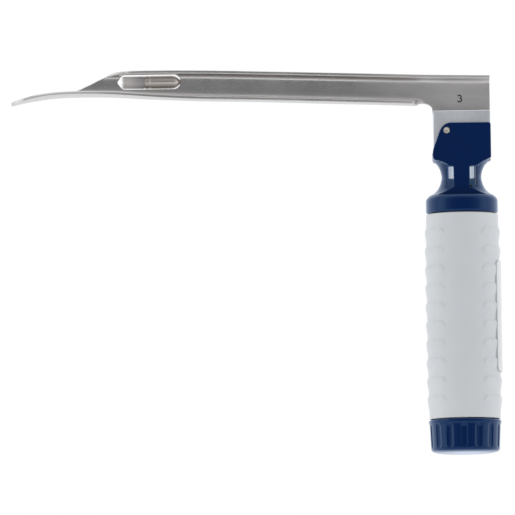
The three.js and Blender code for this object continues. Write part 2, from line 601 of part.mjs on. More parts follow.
const blade = groupOf([
  ['blade_channel', bladeChannel(), steel],
  ['heel_block', heelBlock(), blockSteel],
  ['light_tube', lightTube(), steel],
  ['lamp_lead', lampLead(), leadYellow],
  ['lamp_base', turnedOnLampAxis(LAMP_BASE, 20), lampMetal],
  ['lamp_bulb', turnedOnLampAxis(BULB, 20), bulbGlass],
  ['block_insulator', blockInsulator(), insulatorBlack],
  ['block_contact', turned(BLOCK_CONTACT, 14, CONTACT_X), brass],
  ['detent_ball_front', ball(BALL_R, DETENT_X, -BALL_Y, DETENT_Z), blockSteel],
  ['detent_ball_rear', ball(BALL_R, DETENT_X, BALL_Y, DETENT_Z), blockSteel],
  ['detent_spring', detentSpring(), steel],
]);
const handle = groupOf([
  ['handle_head', handleHead(), navy],
  ['hinge_pin', barY(PIN_R, PIN_X, PIN_Z, -PIN_HALF, PIN_HALF, 16), pinSteel],
  ['contact_housing', contactHousing(), housingWhite],
  ['contact_plunger', turned(PLUNGER, 18, CONTACT_X), brass],
  ['plunger_spring', plungerSpring(), steel],
  ['battery_terminal', turned(TERMINAL, 18, CONTACT_X), brass],
  ['ground_strip', plateXZ(stripOutline(3.25, 122.7, 0), -1.2, 1.2), steel],
  ['core_tube', coreTube(), tubeGrey],
  ['grip_sleeve', gripSleeve(), gripWhite],
  ['grip_label', gripLabel(), labelWhite],
  ['battery_liner', ring(7.6, 9.6, 3.9, 101.8, 24), linerGrey],
  ['battery_lower', battery(LOWER_CELL_Z), cellJacket],
  ['battery_upper', battery(UPPER_CELL_Z), cellJacket],
  ['cap_seal', capSeal(), sealBlack],
  ['end_cap', endCap(), navy],
  ['cap_contact_plate', drum(11.2, 2.5, 3.0, 28), steel],
  ['cap_spring', capSpring(), steel],
]);
const root = new THREE.Group();
root.add(blade, handle);

export default root;
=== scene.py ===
"""A laryngoscope: an upright battery handle with a lit steel blade hooked on its head.

The handle's axis is Z, with its base at z = 0. The blade runs from the head towards -X, its
tip at x = -183 mm, and its web stands on the +Y side. The camera looks along +Y, so front is -Y.
Lengths are millimetres until finish_piece scales each mesh to metres. Materials, the floor,
lights and camera are in metres.
"""
import math

import bmesh
import bpy
from mathutils import Matrix, Vector


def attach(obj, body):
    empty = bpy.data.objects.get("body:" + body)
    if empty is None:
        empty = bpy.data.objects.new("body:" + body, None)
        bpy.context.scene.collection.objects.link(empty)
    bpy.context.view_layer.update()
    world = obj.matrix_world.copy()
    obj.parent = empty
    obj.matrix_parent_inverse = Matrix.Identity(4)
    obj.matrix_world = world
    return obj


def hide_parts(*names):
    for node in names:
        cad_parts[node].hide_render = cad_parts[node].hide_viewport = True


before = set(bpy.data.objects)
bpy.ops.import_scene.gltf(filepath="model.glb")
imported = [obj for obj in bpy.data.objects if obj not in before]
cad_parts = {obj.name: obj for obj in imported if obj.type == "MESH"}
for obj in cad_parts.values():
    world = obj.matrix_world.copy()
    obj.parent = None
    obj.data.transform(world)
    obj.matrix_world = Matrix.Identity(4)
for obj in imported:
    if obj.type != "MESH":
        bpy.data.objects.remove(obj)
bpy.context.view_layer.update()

PIN_X, PIN_Z = -5.86, 130.9         # hinge pin, lying along Y
LAMP_Y, LAMP_Z = 7.6, 153.6         # lamp axis, lying along X
CONTACT_X = 1.2                     # upright contact in the head and the block
CARRIER_END_Z = 136.6               # where the light carrier enters the block
DETENT_X, DETENT_Z = 6.0, 128.3     # sprung balls, on a line along Y
BLOCK_END_X = -11.2                 # end of the hook block towards the blade's tip


# ---------------------------------------------------------------- numbers and lines
def smoothstep(start, end, x):
    t = min(1.0, max(0.0, (x - start) / (end - start)))
    return t * t * (3 - 2 * t)


def table(rows, x):
    """Linear look-up in [(x, value)...], held level past both ends."""
    if x <= rows[0][0]:
        return rows[0][1]
    for (x0, v0), (x1, v1) in zip(rows, rows[1:]):
        if x <= x1:
            return v0 + (v1 - v0) * (x - x0) / (x1 - x0)
    return rows[-1][1]


def soft_table(rows, x, window):
    """The table averaged over a window, so its corners are round."""
    return sum(table(rows, x + window * k / 4.0) for k in range(-4, 5)) / 9.0


def run(start, step, count):
    return [start + step * i for i in range(count)]


def first_index(points, test):
    return next(i for i, p in enumerate(points) if test(p))


def rounded_corner(before, corner, after, steps):
    """Points round one corner. Each input is (u, v, corner radius)."""
    p = Vector(corner[:2])
    to_before, to_after = Vector(before[:2]) - p, Vector(after[:2]) - p
    reach = min(corner[2], to_before.length * 0.45, to_after.length * 0.45)
    if reach <= 1e-6:
        return [tuple(p)]
    start = p + to_before.normalized() * reach
    end = p + to_after.normalized() * reach
    curve = []
    for k in range(steps + 1):
        t = k / steps
        curve.append(tuple(start * (1 - t) ** 2 + p * 2 * t * (1 - t) + end * t * t))
    return curve


def round_profile(points, steps=4):
    """Rounds the inner corners of an open line of (r, h, corner radius)."""
    out = [points[0][:2]]
    for before, corner, after in zip(points, points[1:], points[2:]):
        out += rounded_corner(before, corner, after, steps)
    return out + [points[-1][:2]]


def round_loop(points, steps=4):
    """Rounds every corner of a closed outline of (u, v, corner radius)."""
    out = []
    for i, corner in enumerate(points):
        out += rounded_corner(points[i - 1], corner, points[(i + 1) % len(points)], steps)
    return out


def resample(points, count):
    """Points evenly along a polyline, by arc length."""
    points = [Vector(p) for p in points]
    reached = [0.0]
    for a, b in zip(points, points[1:]):
        reached.append(reached[-1] + (b - a).length)
    out, i = [], 0
    for k in range(count):
        s = reached[-1] * k / (count - 1)
        while i < len(reached) - 2 and reached[i + 1] < s:
            i += 1
        t = (s - reached[i]) / max(1e-9, reached[i + 1] - reached[i])
        out.append(points[i].lerp(points[i + 1], min(1, max(0, t))))
    return out


def with_end_guides(points):
    """Vectors, with one more mirrored beyond each end to steer a smooth line."""
    p = [Vector(q) for q in points]
    return [p[0] * 2 - p[1]] + p + [p[-1] * 2 - p[-2]]


def catmull(points, steps):
    """A smooth line through the points, with so many steps to each gap."""
    p = with_end_guides(points)
    out = []
    for a, b, c, d in zip(p, p[1:], p[2:], p[3:]):
        for k in range(steps):
            t = k / steps
            out.append(0.5 * ((2 * b) + (c - a) * t + (2 * a - 5 * b + 4 * c - d) * t * t
                              + (3 * b - a - 3 * c + d) * t ** 3))
    out.append(p[-2])
    return out


def centripetal(points, steps):
    """The smooth line with chord-root spacing, so tight bends don't overshoot."""
    p = with_end_guides(points)
    out = []
    for a, b, c, d in zip(p, p[1:], p[2:], p[3:]):
        t = [0.0]
        for start, end in ((a, b), (b, c), (c, d)):
            t.append(t[-1] + max(1e-6, (end - start).length) ** 0.5)
        for k in range(steps):
            u = t[1] + (t[2] - t[1]) * k / steps
            ab = a.lerp(b, (u - t[0]) / (t[1] - t[0]))
            bc = b.lerp(c, (u - t[1]) / (t[2] - t[1]))
            cd = c.lerp(d, (u - t[2]) / (t[3] - t[2]))
            abc = ab.lerp(bc, (u - t[0]) / (t[2] - t[0]))
            bcd = bc.lerp(cd, (u - t[1]) / (t[3] - t[1]))
            out.append(abc.lerp(bcd, (u - t[1]) / (t[2] - t[1])))
    out.append(p[-2])
    return out


# -------------------------------------------------------------------------- meshes
def mesh_object(name, verts, faces):
    mesh = bpy.data.meshes.new(name)
    mesh.from_pydata([tuple(v) for v in verts], [], faces)
    mesh.validate()
    ob = bpy.data.objects.new(name, mesh)
    bpy.context.collection.objects.link(ob)
    return ob


def solid(name, verts, faces):
    """A mesh with doubled points merged and its faces turned outwards."""
    ob = mesh_object(name, verts, faces)
    bm = bmesh.new()
    bm.from_mesh(ob.data)
    bmesh.ops.remove_doubles(bm, verts=bm.verts, dist=1e-5)
    bmesh.ops.recalc_face_normals(bm, faces=bm.faces)
    if bm.calc_volume(signed=True) < 0:
        bmesh.ops.reverse_faces(bm, faces=bm.faces)
    bm.to_mesh(ob.data)
    bm.free()
    return ob


def revolve(name, profile, segments, radial=None, axis="Z", centre=(0, 0, 0), closed=False):
    """A turned solid from [(r, h)...], which ends on the axis or closes on itself.

    radial(angle, r, h) may change r.
    """
    verts, faces, rings = [], [], []
    for r, h in profile:
        if r < 1e-9:
            rings.append([len(verts)] * segments)
            verts.append((0, 0, h))
            continue
        ring = []
        for j in range(segments):
            angle = 2 * math.pi * j / segments
            radius = radial(angle, r, h) if radial else r
            ring.append(len(verts))
            verts.append((radius * math.cos(angle), radius * math.sin(angle), h))
        rings.append(ring)
    following = rings[1:] + rings[:1] if closed else rings[1:]
    for a, b in zip(rings, following):
        for j in range(segments):
            k = (j + 1) % segments
            face = list(dict.fromkeys([a[j], a[k], b[k], b[j]]))
            if len(face) > 2:
                faces.append(face)
    order = {"X": (2, 0, 1), "Y": (0, 2, 1), "Z": (0, 1, 2)}[axis]
    verts = [[v[source] + shift for source, shift in zip(order, centre)] for v in verts]
    return solid(name, verts, faces)


def prism(outline, low, high, along="Y", name="cutter"):
    """A closed outline pushed through: an XZ outline runs along Y, an XY outline along Z."""
    if along == "Y":
        verts = [(u, level, v) for level in (low, high) for u, v in outline]
    else:
        verts = [(u, v, level) for level in (low, high) for u, v in outline]
    n = len(outline)
    faces = [list(range(n))[::-1], [n + i for i in range(n)]]
    faces += [[i, (i + 1) % n, n + (i + 1) % n, n + i] for i in range(n)]
    return solid(name, verts, faces)


def box(x0, x1, y0, y1, z0, z1):
    return prism([(x0, y0), (x1, y0), (x1, y1), (x0, y1)], z0, z1, along="Z")


def rod(radius, low, high, segments, axis="Z", centre=(0, 0, 0)):
    profile = [(0, low), (radius, low), (radius, high), (0, high)]
    return revolve("cutter", profile, segments, axis=axis, centre=centre)


def skin(name, sections, capped=True):
    """Skin through closed sections of equal length."""
    n = len(sections[0])
    verts = [p for section in sections for p in section]
    faces = []
    for i in range(len(sections) - 1):
        for j in range(n):
            k = (j + 1) % n
            faces.append([i * n + j, i * n + k, (i + 1) * n + k, (i + 1) * n + j])
    if capped:
        faces.append(list(range(n)))
        faces.append([(len(sections) - 1) * n + j for j in range(n)])
    return solid(name, verts, faces)


def pipe(name, path, radius, bore, segments):
    """An open pipe along a line of points that doesn't start upright."""
    last = len(path) - 1
    across = None
    outer, inner = [], []
    for i, p in enumerate(path):
        along = (path[min(i + 1, last)] - path[max(i - 1, 0)]).normalized()
        if across is None:
            across = along.cross(Vector((0, 0, 1))).normalized()
        else:
            across = (across - along * across.dot(along)).normalized()
        other = along.cross(across)
        for rings, r in ((outer, radius), (inner, bore)):
            ring = []
            for k in range(segments):
                angle = 2 * math.pi * k / segments
                ring.append(tuple(p + (across * math.cos(angle) + other * math.sin(angle)) * r))
            rings.append(ring)
    return skin(name, outer + inner[::-1] + [outer[0]], capped=False)


def add_modifier(ob, kind, **settings):
    modifier = ob.modifiers.new(kind.lower(), kind)
    for key, value in settings.items():
        setattr(modifier, key, value)


def bake(ob):
    """Applies the modifiers to the mesh."""
    bpy.context.view_layer.update()
    depsgraph = bpy.context.evaluated_depsgraph_get()
    mesh = bpy.data.meshes.new_from_object(ob.evaluated_get(depsgraph))
    ob.modifiers.clear()
    old = ob.data
    ob.data = mesh
    bpy.data.meshes.remove(old)


def combine(ob, tools, operation):
    for tool in tools:
        add_modifier(ob, "BOOLEAN", operation=operation, object=tool, solver="EXACT")
        bake(ob)
        bpy.data.objects.remove(tool)


def cut(ob, *tools):
    combine(ob, tools, "DIFFERENCE")


def join(ob, *tools):
    combine(ob, tools, "UNION")


def smooth_shading(ob, material, sharp=None):
    """Gives the material and smooth shading, with edges above an angle in degrees kept sharp."""
    for polygon in ob.data.polygons:
        polygon.use_smooth = True
    if sharp is not None:
        ob.data.set_sharp_from_angle(angle=math.radians(sharp))
    ob.data.materials.clear()
    ob.data.materials.append(material)


def finish_piece(ob, body, finish, replaced=None, sharp=None):
    """Scales to metres, gives the finish, and ties the piece to its body."""
    ob.data.transform(Matrix.Scale(0.001, 4))
    smooth_shading(ob, FINISHES[finish].material, sharp)
    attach(ob, body)
    if replaced:
        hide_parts(replaced)


# ------------------------------------------------------------------- shader helpers
class Nodes:
    """Builds the node tree of a material or a world."""

    def __init__(self, owner):
        owner.use_nodes = True
        self.tree = owner.node_tree
        self.tree.nodes.clear()

    def add(self, kind, **settings):
        node = self.tree.nodes.new("ShaderNode" + kind)
        for key, value in settings.items():
            setattr(node, key, value)
        return node

    def feed(self, socket, value):
        """Links an output to the socket, or sets a plain value."""
        if isinstance(value, bpy.types.NodeSocket):
            self.tree.links.new(value, socket)
        elif socket.type == "RGBA":
            socket.default_value = (*value, 1)
        else:
            socket.default_value = value

    def separate(self, vector):
        node = self.add("SeparateXYZ")
        self.feed(node.inputs[0], vector)
        return node.outputs

    def remap(self, value, span, to=(0.0, 1.0)):
        node = self.add("MapRange")
        for key, number in zip(("From Min", "From Max", "To Min", "To Max"), (*span, *to)):
            node.inputs[key].default_value = number
        self.feed(node.inputs["Value"], value)
        return node.outputs[0]

    def mix(self, factor, first, second, blend="MIX"):
        node = self.add("Mix", data_type="RGBA", blend_type=blend)
        self.feed(node.inputs["Factor"], factor)
        self.feed(node.inputs[6], first)
        self.feed(node.inputs[7], second)
        return node.outputs[2]

    def calc(self, operation, *values):
        node = self.add("Math", operation=operation)
        for socket, value in zip(node.inputs, values):
            self.feed(socket, value)
        return node.outputs[0]


class Finish(Nodes):
    """A material with one Principled shader, patterned in object coordinates (metres)."""

    def __init__(self, name):
        self.material = bpy.data.materials.new(name)
        super().__init__(self.material)
        output = self.add("OutputMaterial")
        self.inputs = (shader := self.add("BsdfPrincipled")).inputs
        self.feed(output.inputs["Surface"], shader.outputs[0])
        self.place = self.add("TexCoord").outputs["Object"]

    def set(self, values):
        for key, value in values.items():
            self.feed(self.inputs[key], value)

    def current(self, key):
        """What already feeds an input, for a later step to build on."""
        return self.inputs[key].links[0].from_socket

    def noise(self, scale, detail=3.0, roughness=0.55, offset=0.0):
        mapping = self.add("Mapping")
        scales = scale if isinstance(scale, tuple) else (scale, scale, scale)
        mapping.inputs["Scale"].default_value = scales
        mapping.inputs["Location"].default_value = (offset, offset * 1.7, offset * 0.6)
        self.feed(mapping.inputs["Vector"], self.place)
        texture = self.add("TexNoise")
        texture.inputs["Scale"].default_value = 1.0
        texture.inputs["Detail"].default_value = detail
        texture.inputs["Roughness"].default_value = roughness
        self.feed(texture.inputs["Vector"], mapping.outputs[0])
        return texture.outputs["Fac"]

    def edge_wear_and_highlight(self, amount):
        """Rises towards the amount on convex edges: partly edge wear, partly a painted
        highlight.
        """
        geometry = self.add("NewGeometry")
        edges = self.remap(geometry.outputs["Pointiness"], span=(0.51, 0.58))
        return self.calc("MULTIPLY", edges, amount)

    def bump(self, height, strength, distance):
        node = self.add("Bump")
        node.inputs["Strength"].default_value = strength
        node.inputs["Distance"].default_value = distance
        self.feed(node.inputs["Height"], height)
        self.feed(self.inputs["Normal"], node.outputs[0])


def scaled(colour, factor, lift=0.0):
    return tuple(min(1, v * factor + lift) for v in colour)


# ------------------------------------------------------------------------ materials
def steel(name, colour, roughness, grain=(250, 9000, 9000), tint=0.06, scratch=0.35, edge=0.25):
    """Brushed metal; grain is the scale of its brush lines along x, y and z."""
    m = Finish(name)
    lines = m.noise(scale=grain, detail=4.0, roughness=0.65)
    cloud = m.noise(scale=60, roughness=0.6, offset=3.0)
    fine = m.noise(scale=tuple(g * 0.35 for g in grain), roughness=0.6, offset=7.0)
    shade = m.mix(m.remap(lines, span=(0.3, 0.7)),
                  scaled(colour, 1 - tint * 2.2), scaled(colour, 1 + tint))
    shade = m.mix(m.remap(cloud, span=(0.35, 0.7), to=(0, 0.35)), shade, scaled(colour, 1.1))
    # Lighter convex edges: partly edge wear, partly a painted highlight
    shade = m.mix(m.edge_wear_and_highlight(edge), shade, scaled(colour, 1.5))
    line_roughness = m.remap(lines, span=(0.3, 0.7), to=(roughness * 0.82, roughness * 1.15))
    cloud_roughness = m.remap(cloud, span=(0.3, 0.7), to=(-0.04, 0.05))
    m.set({
        "Base Color": shade,
        "Metallic": 1.0,
        "Roughness": m.calc("ADD", line_roughness, cloud_roughness),
        "Anisotropic": 0.35,
    })
    m.bump(m.calc("ADD", lines, fine), strength=scratch, distance=0.00001)
    return m


def plastic(name, colour, roughness, coat=0.0, grain=2500, depth=0.25, vary=0.08,
            subsurface=0.0, specular=0.5, edge=0.15, specular_tint=None):
    """Moulded plastic; vary is its cloudiness, grain and depth are its fine bumps."""
    m = Finish(name)
    cloud = m.noise(scale=45, roughness=0.6, offset=1.0)
    fine = m.noise(scale=grain, detail=2.0, roughness=0.5, offset=5.0)
    smudge = m.noise(scale=(90, 90, 35), detail=4.0, roughness=0.65, offset=9.0)
    shade = m.mix(m.remap(cloud, span=(0.3, 0.7)),
                  scaled(colour, 1 - vary), scaled(colour, 1 + vary))
    # Lighter convex edges: partly edge wear, partly a painted highlight
    shade = m.mix(m.edge_wear_and_highlight(edge), shade, scaled(colour, 1.6, lift=0.004))
    m.set({
        "Base Color": shade,
        "Roughness": m.remap(smudge, span=(0.3, 0.75), to=(roughness * 0.85, roughness * 1.3)),
        "Specular IOR Level": specular,
    })
    if specular_tint:
        m.set({"Specular Tint": specular_tint})
    if coat:
        m.set({"Coat Weight": coat, "Coat Roughness": 0.08})
    if subsurface:
        m.set({
            "Subsurface Weight": subsurface,
            "Subsurface Radius": (0.0012, 0.001, 0.0009),
            "Subsurface Scale": 1.0,
        })
    m.bump(fine, strength=depth, distance=0.00002)
    return m


def lamp_glass():
    """Frosted envelope: brighter at its lens towards -X, darker at its foot."""
    m = Finish("frosted_lamp")
    x = m.separate(m.place)["X"]
    tip = m.remap(x, span=(-0.1368, -0.1382))
    foot = m.remap(x, span=(-0.1345, -0.1285))
    cloud = m.noise(scale=500, roughness=0.6, offset=2.0)
    milk = m.mix(m.remap(cloud, span=(0.3, 0.7)), (0.62, 0.58, 0.56), (0.70, 0.67, 0.65))
    milk = m.mix(foot, milk, (0.36, 0.355, 0.365))
    milk = m.mix(tip, milk, (0.95, 0.95, 0.98))
    m.set({
        "Base Color": milk,
        "Roughness": 0.28,
        "Subsurface Weight": 0.35,
        "Subsurface Radius": (0.002, 0.0018, 0.0016),
        "Subsurface Scale": 1.0,
        "Coat Weight": 0.6,
        "Coat Roughness": 0.12,
        "Emission Color": milk,
        "Emission Strength": m.remap(tip, span=(0.0, 1.0), to=(0.12, 0.75)),
    })
    m.bump(m.noise(scale=3000, detail=2.0, roughness=0.5), strength=0.2, distance=0.00001)
    return m


def etched():
    m = Finish("etched_dark")
    speckle = m.noise(scale=6000, detail=2.0, roughness=0.6)
    m.set({
        "Base Color": m.mix(speckle, (0.035, 0.03, 0.03), (0.075, 0.065, 0.06)),
        "Roughness": 0.6,
        "Metallic": 0.3,
    })
    m.bump(speckle, strength=0.3, distance=0.00001)
    return m


def painted_inner_glow(m, colour, strength):
    """Painted light: an emission standing in for daylight inside the thin moulded neck, seen
    only on walls close to the handle's axis.
    """
    place = m.separate(m.place)
    x_squared = m.calc("POWER", place["X"], 2.0)
    y_squared = m.calc("POWER", place["Y"], 2.0)
    radius = m.calc("SQRT", m.calc("ADD", x_squared, y_squared))
    inside = m.remap(radius, span=(0.00655, 0.0063))
    below_top = m.remap(place["Z"], span=(0.1215, 0.1205))
    glow = m.calc("MULTIPLY", m.calc("MULTIPLY", inside, below_top), strength)
    m.set({"Emission Color": colour, "Emission Strength": glow})


def painted_edge_sheen(m, colour, power, amount):
    """Painted sheen: pales the colour where the surface turns away from the eye, standing in for
    reflections of the bright surroundings.
    """
    base = m.current("Base Color")
    weight = m.add("LayerWeight")
    weight.inputs["Blend"].default_value = 0.5
    facing = m.calc("POWER", weight.outputs["Facing"], power)
    m.set({"Base Color": m.mix(m.calc("MULTIPLY", facing, amount), base, colour)})


def satin_heel(m, span, extra):
    """The blade's heel is ground to a duller finish than its length; span is in x."""
    x = m.separate(m.place)["X"]
    dulling = m.remap(x, span=span, to=(0.0, extra))
    m.set({"Roughness": m.calc("ADD", m.current("Roughness"), dulling)})


def make_finishes():
    finishes = {
        "blade": steel("steel_blade", colour=(0.67, 0.648, 0.636), roughness=0.29, tint=0.02,
                       scratch=0.07, edge=0.12),
        "block": steel("steel_block", colour=(0.84, 0.86, 0.90), roughness=0.48,
                       grain=(4000, 4000, 300), tint=0.02, scratch=0.05, edge=0.15),
        "lamp": steel("steel_lamp", colour=(0.74, 0.69, 0.65), roughness=0.33,
                      grain=(5000, 900, 900), tint=0.03, scratch=0.05),
        "pin": steel("steel_pin", colour=(0.62, 0.58, 0.53), roughness=0.42,
                     grain=(4000, 4000, 4000), scratch=0.5),
        "spring": steel("steel_spring", colour=(0.62, 0.62, 0.63), roughness=0.3,
                        grain=(3000, 3000, 3000)),
        "brass": steel("brass_contact", colour=(0.74, 0.57, 0.30), roughness=0.3,
                       grain=(3000, 3000, 900)),
        "navy": plastic("navy_gloss", colour=(0.0008, 0.0125, 0.082), roughness=0.13,
                        specular_tint=(0.35, 0.7, 1.0), grain=1800, depth=0.06, vary=0.06),
        "grip": plastic("white_grip", colour=(0.73, 0.75, 0.765), roughness=0.5, grain=2600,
                        depth=0.28, vary=0.02, subsurface=0.12, specular=0.35, edge=0.05),
        "label": plastic("label_film", colour=(0.78, 0.79, 0.79), roughness=0.32, coat=0.3,
                         grain=4000, depth=0.05, vary=0.02, edge=0.0),
        "insulator": plastic("white_insulator", colour=(0.74, 0.75, 0.77), roughness=0.45,
                             grain=2600, depth=0.15, vary=0.03, subsurface=0.1),
        "black": plastic("black_insulator", colour=(0.022, 0.022, 0.024), roughness=0.5,
                         grain=3000, depth=0.3),
        "grey": plastic("grey_tube", colour=(0.06, 0.065, 0.08), roughness=0.45, grain=3000,
                        depth=0.3),
        "lead": plastic("lead_cover", colour=(0.55, 0.36, 0.09), roughness=0.35, grain=3000,
                        depth=0.1),
        "cell": plastic("cell_jacket", colour=(0.05, 0.055, 0.065), roughness=0.25, coat=0.4,
                        grain=3000, depth=0.05),
        "rubber": plastic("seal_rubber", colour=(0.018, 0.018, 0.02), roughness=0.65,
                          grain=4000, depth=0.35, specular=0.3),
        "glass": lamp_glass(),
        "etch": etched(),
    }
    # Painted light inside the head: the navy walls and the insulator glow faintly in place of
    # daylight
    painted_inner_glow(finishes["navy"], colour=(0.025, 0.045, 0.08), strength=1.0)
    painted_inner_glow(finishes["insulator"], colour=(0.55, 0.62, 0.70), strength=0.62)
    # Painted sheen: light-blue pallor on the navy where it turns away from the eye
    painted_edge_sheen(finishes["navy"], colour=(0.16, 0.32, 0.62), power=3.0, amount=0.7)
    satin_heel(finishes["blade"], span=(-0.045, -0.012), extra=0.17)
    # Painted shade: a dark edge tint darkens the lamp barrel's rims, standing in for shade from
    # the web around it
    finishes["lamp"].set({"Specular Tint": (0.16, 0.14, 0.13)})
    return finishes


FINISHES = make_finishes()

# -------------------------------------------------------------------- blade channel
# One sheet bent to a channel: lower flange, web on the +Y side, top flange.
SHEET = 1.36
HALF_SHEET = SHEET / 2
EDGE_ROUND = 0.3
WEB_Y = 6.3             # middle of the sheet in the flat web
# (x, z) of the channel's underside
UNDERSIDE = [
    (-183, 143.9), (-181.96, 144.05), (-180.7, 144.45), (-179.5, 144.7), (-177, 145.25),
    (-173.4, 145.9), (-170.9, 146.25), (-168.5, 146.6), (-166, 146.85), (-162.8, 147.1),
    (-158, 147.3), (-150, 147.3), (-143, 147.15), (-138, 146.9), (-130.3, 146.35),
    (-122, 145.85), (-105.9, 145.1), (-81.5, 144.4), (-57.1, 143.45), (-32.7, 142.55),
    (-19.7, 142.0), (12.2, 140.9),
]
# (x, z) of the top flange's upper face
CREST = [
    (-200, 158.05), (-130, 158.05), (-113.8, 157.98), (-97.6, 157.6), (-81.3, 157.05),
    (-65, 156.5), (-48.8, 155.95), (-32.5, 155.37), (-16.3, 154.77), (-11.4, 154.62),
    (12.2, 154.12),
]
# (x, y) of the top flange's free edge
LIP = [(-140, 1.5), (-90, 1.0), (12.2, 1.0)]
# (x, rise) of the lower flange's free edge
ROLL = [(-183, 0.9), (-165, 0.9), (-146, 0.7), (-110, 0.0), (12.2, 0.0)]
# (x, height above the underside) of the low wall near the tip, and its highest z
TIP_WALL = [(-183, 2.05), (-168, 2.4), (-158.5, 2.1)]
TIP_WALL_TOP = 149.3
# (x, z) of the web's edge as it climbs to the top flange
SLOPE = [(-158.5, 149.3), (-157.0, 149.65), (-154.6, 150.9), (-150.5, 152.9),
         (-146.4, 154.9), (-143.2, 156.3)]
SLOPE_START, SLOPE_END = SLOPE[0][0], SLOPE[-1][0]
SLOPE_TOP = SLOPE[-1][1]
FLANGE_GROWTH = 14.2    # length over which the top flange widens after the slope
# Half ellipse of the tip in plan
TIP_START, TIP_LENGTH, TIP_HALF_WIDTH, TIP_Y = -171.2, 11.55, 6.75, 0.05
# Round end of the lower flange at the heel: where it starts, its length, where it ends
FLANGE_ROUND_X, FLANGE_ROUND, FLANGE_END = -19.4, 1.9, -17.5
# (x, z) of the web's lower edge at the heel
HEEL_EDGE = [
    (-17.6, 143.15), (-16.5, 143.35), (-15.2, 143.25), (-14.0, 143.0), (-13.2, 142.7),
    (-12.4, 142.25), (-11.6, 141.5), (-11.3, 140.6), (BLOCK_END_X, 137.7), (-8.5, 137.6),
    (-5.5, 135.3), (13, 135.3),
]
# x of each section
STATIONS = (
    [-182.7, -182.55, -182.3, -182.0, -181.6, -181.1, -180.5]
    + run(-180, 0.75, 49) + run(-143.2, 0.55, 27) + run(-128, 1.6, 67)
    + [-21.4, -20.4, -19.6, -19.2, -18.9, -18.6, -18.3, -18.0, -17.8, -17.65, -17.55, -17.5,
       -17.2, -16.8, -16.3, -15.7, -15.1, -14.5, -14, -13.6, -13.2, -12.8, -12.4, -12.1,
       -11.85, -11.6, -11.45, -11.3, -11.2, -10.5, -9.5, -8.5, -7.5, -6.5, -5.5]
    + run(-4, 1.6, 10) + [11.6, 11.9, 12.08]
)
# Lamp window: its round end, then (x, half height) narrowing to its point towards the tip
WINDOW_ROUND_X, WINDOW_RADIUS, WINDOW_POINT_X = -116.7, 3.0, -139.5
WINDOW_FRONT = [(-136.5, 3.0), (-137.0, 2.9), (-137.75, 2.45), (-138.25, 1.75), (-138.9, 0.95)]


def underside(x):
    return soft_table(UNDERSIDE, x, window=2.0)


def mid_line(x):
    """Centre line (y, z) of the sheet at x, from the lower free edge to the upper."""
    bottom = underside(x)
    height = soft_table(CREST, x, window=6.0) - bottom
    lip = soft_table(LIP, x, window=8.0)
    roll = soft_table(ROLL, x, window=8.0)
    points = [
        (-6.8, roll + 0.62), (-5.9, roll * 0.5 + HALF_SHEET - 0.02),
        (-4.4, roll * 0.17 + HALF_SHEET), (-2.5, HALF_SHEET + 0.01), (0, HALF_SHEET),
        (2.5, HALF_SHEET + 0.06), (4.1, 1.05), (5.2, 1.75), (5.92, 2.9), (6.22, 4.4),
        (6.32, height / 2), (WEB_Y, height - 3.4), (6.1, height - 2.2), (5.45, height - 1.35),
        (4.4, height - 0.9), (3.4, height - 0.78), (lip + 1.5, height - 0.72),
        (lip + 0.7, height - 0.73), (lip, height - 0.76),
    ]
    return [Vector((p.x, p.y + bottom)) for p in catmull(points, 6)]


def heel_line(points, x):
    """At the heel the lower flange is gone, and the web flattens down to the heel edge."""
    bottom = underside(x)
    flatness = smoothstep(-17.6, -13.6, x)
    upper = points[first_index(points, lambda p: p.x > 3 and p.y > bottom + 0.75):]
    web = first_index(upper, lambda p: p.y > bottom + 5.0)
    curve = [(p.y, p.x) for p in upper[:web + 1]]
    low = table(HEEL_EDGE, x)
    side, count = [], 30
    for i in range(count):
        z = low + (upper[web].y - low) * i / count
        y = table(curve, z)
        side.append(Vector((y + (WEB_Y - y) * flatness, z)))
    return side + upper[web:]


def trimmed(x):
    """The centre line cut to the blade's outline in side view and to the round tip in plan."""
    points = resample(mid_line(x), 240)
    if x > FLANGE_END:
        return heel_line(points, x)
    first, last = 0, len(points) - 1
    if x < SLOPE_END:
        if x > SLOPE_START:
            top = table(SLOPE, x)
        else:
            top = min(TIP_WALL_TOP, underside(x) + table(TIP_WALL, x))
        last = first_index(points, lambda p: p.x > 3 and p.y > top)
    elif x < SLOPE_END + FLANGE_GROWTH:
        start = first_index(points, lambda p: p.x > 3 and p.y > SLOPE_TOP)
        t = (x - SLOPE_END) / FLANGE_GROWTH
        last = int(start + (last - start) * (1 - (1 - t) ** 1.6))
    if x < TIP_START:
        narrowing = math.sqrt(1 - ((TIP_START - x) / TIP_LENGTH) ** 2)
        half_width = TIP_HALF_WIDTH * narrowing + 0.05
        first = first_index(points, lambda p: p.x >= TIP_Y - half_width)
        last = max(i for i, p in enumerate(points[:last + 1]) if p.x <= TIP_Y + half_width)
    if x > FLANGE_ROUND_X:
        web = first_index(points, lambda p: p.x > 4.1)
        t = min(1.0, (x - FLANGE_ROUND_X) / FLANGE_ROUND)
        first = int(web * (1 - math.sqrt(1 - t * t)))
    return points[first:last + 1]


